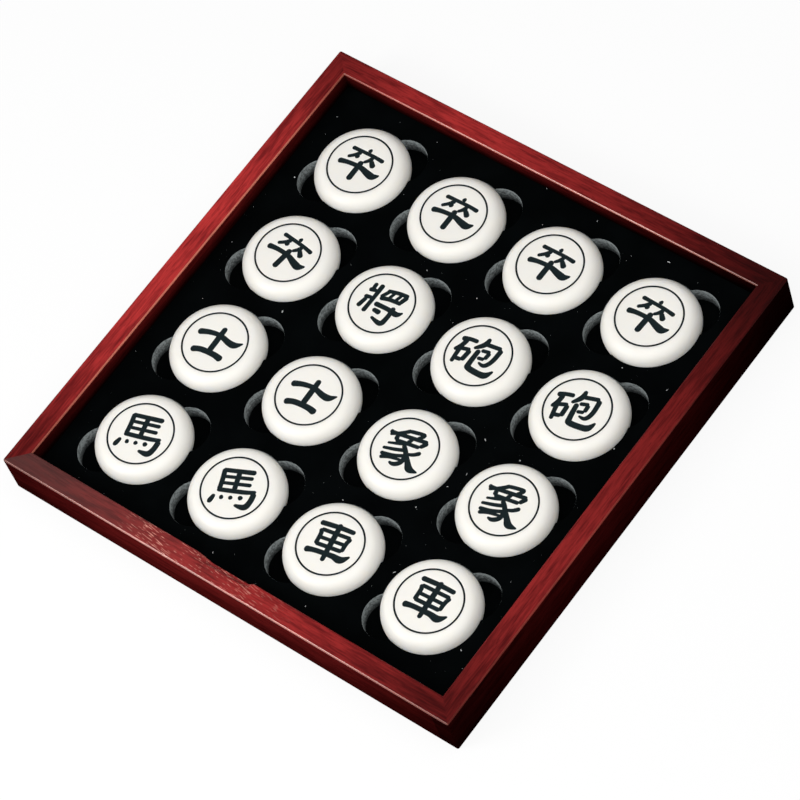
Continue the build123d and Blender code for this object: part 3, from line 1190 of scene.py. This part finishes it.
def floor_material(settings):
    """A pale floor that looks nearly white and keeps the tray's shadow."""
    surface = Surface("floor")
    mottle = surface.noise(surface.place(), 3.0, 1.0)
    seen = seen_directly(surface)
    tone = surface.blend(seen, settings.bounce, settings.floor)
    tone = surface.blend(mottle * 0.04, tone, (1.0, 1.0, 1.0))
    plain = surface.add("ShaderNodeBsdfDiffuse", None, {"Color": tone})
    white = surface.add("ShaderNodeEmission", None, {"Color": (1.0, 1.0, 1.0, 1.0), "Strength": 1.0})
    mixed = surface.add("ShaderNodeMixShader", None, {0: seen * FLOOR_GLOW, 1: plain, 2: white})
    surface.add("ShaderNodeOutputMaterial", None, {"Surface": mixed})
    return surface.material


def add_world(ambient):
    """Even low light, and a white background."""
    world = bpy.data.worlds.new("studio")
    world.use_nodes = True
    graph = Graph(world.node_tree)
    strength = ambient + seen_directly(graph) * (1 - ambient)
    glow = graph.add("ShaderNodeBackground", None,
                     {"Color": (1.0, 1.0, 1.0, 1.0), "Strength": strength})
    graph.add("ShaderNodeOutputWorld", None, {"Surface": glow})
    bpy.context.scene.world = world


class ChessTrayStage(bpy.types.Operator):
    """Sets up the camera, the lamps, the floor and the background"""

    bl_idname = "chess_tray.stage"
    bl_label = "Stage"

    def execute(self, context):
        settings = context.scene.chess_tray.stage
        context.scene.view_settings.view_transform = "Standard"
        add_camera(settings)
        add_softbox("key", azimuth=-32, elevation=40, distance=1.0, size=0.42,
                    power=settings.key_power)
        add_softbox("overhead", azimuth=56, elevation=70, distance=1.0, size=1.20,
                    power=settings.top_power)
        add_world(settings.ambient)
        mesh = bpy.data.meshes.new("floor")
        shape = bmesh.new()
        bmesh.ops.create_grid(shape, x_segments=1, y_segments=1, size=FLOOR_REACH)
        shape.to_mesh(mesh)
        shape.free()
        mesh.transform(Matrix.Translation((0, 0, CAD_BOX[0].z - FLOOR_GAP)))
        mesh.materials.append(floor_material(settings))
        floor = bpy.data.objects.new("floor", mesh)
        context.scene.collection.objects.link(floor)
        return {"FINISHED"}


# ---------------------------------------------------------------- panel and run
class ChessTrayPanel(bpy.types.Panel):
    """Lists the tray's settings and steps"""

    bl_idname = "VIEW3D_PT_chess_tray"
    bl_label = "Chess Tray"
    bl_space_type = "VIEW_3D"
    bl_region_type = "UI"
    bl_category = "Chess Tray"

    def draw(self, context):
        settings = context.scene.chess_tray
        for part, step in STEPS.items():
            box = self.layout.box()
            box.operator(step.bl_idname)
            group = getattr(settings, part)
            for name in group.__annotations__:
                box.prop(group, name)


STEPS = {
    "rails": ChessTrayRails,
    "insert": ChessTrayInsert,
    "pieces": ChessTrayPieces,
    "lint": ChessTrayLint,
    "stage": ChessTrayStage,
}
GROUPS = (RailSettings, InsertSettings, PieceSettings, LintSettings, StageSettings, TraySettings)
CLASSES = (*GROUPS, *STEPS.values(), ChessTrayPanel)


def register():
    """Registers the classes and the scene's settings."""
    for each in CLASSES:
        bpy.utils.register_class(each)
    bpy.types.Scene.chess_tray = bpy.props.PointerProperty(type=TraySettings)


def unregister():
    """Takes the settings and the classes away again."""
    del bpy.types.Scene.chess_tray
    for each in reversed(CLASSES):
        bpy.utils.unregister_class(each)


def main():
    """Runs every step in order."""
    register()
    bpy.ops.chess_tray.rails()
    bpy.ops.chess_tray.insert()
    bpy.ops.chess_tray.pieces()
    bpy.ops.chess_tray.lint()
    bpy.ops.chess_tray.stage()


if __name__ == "__main__":
    main()
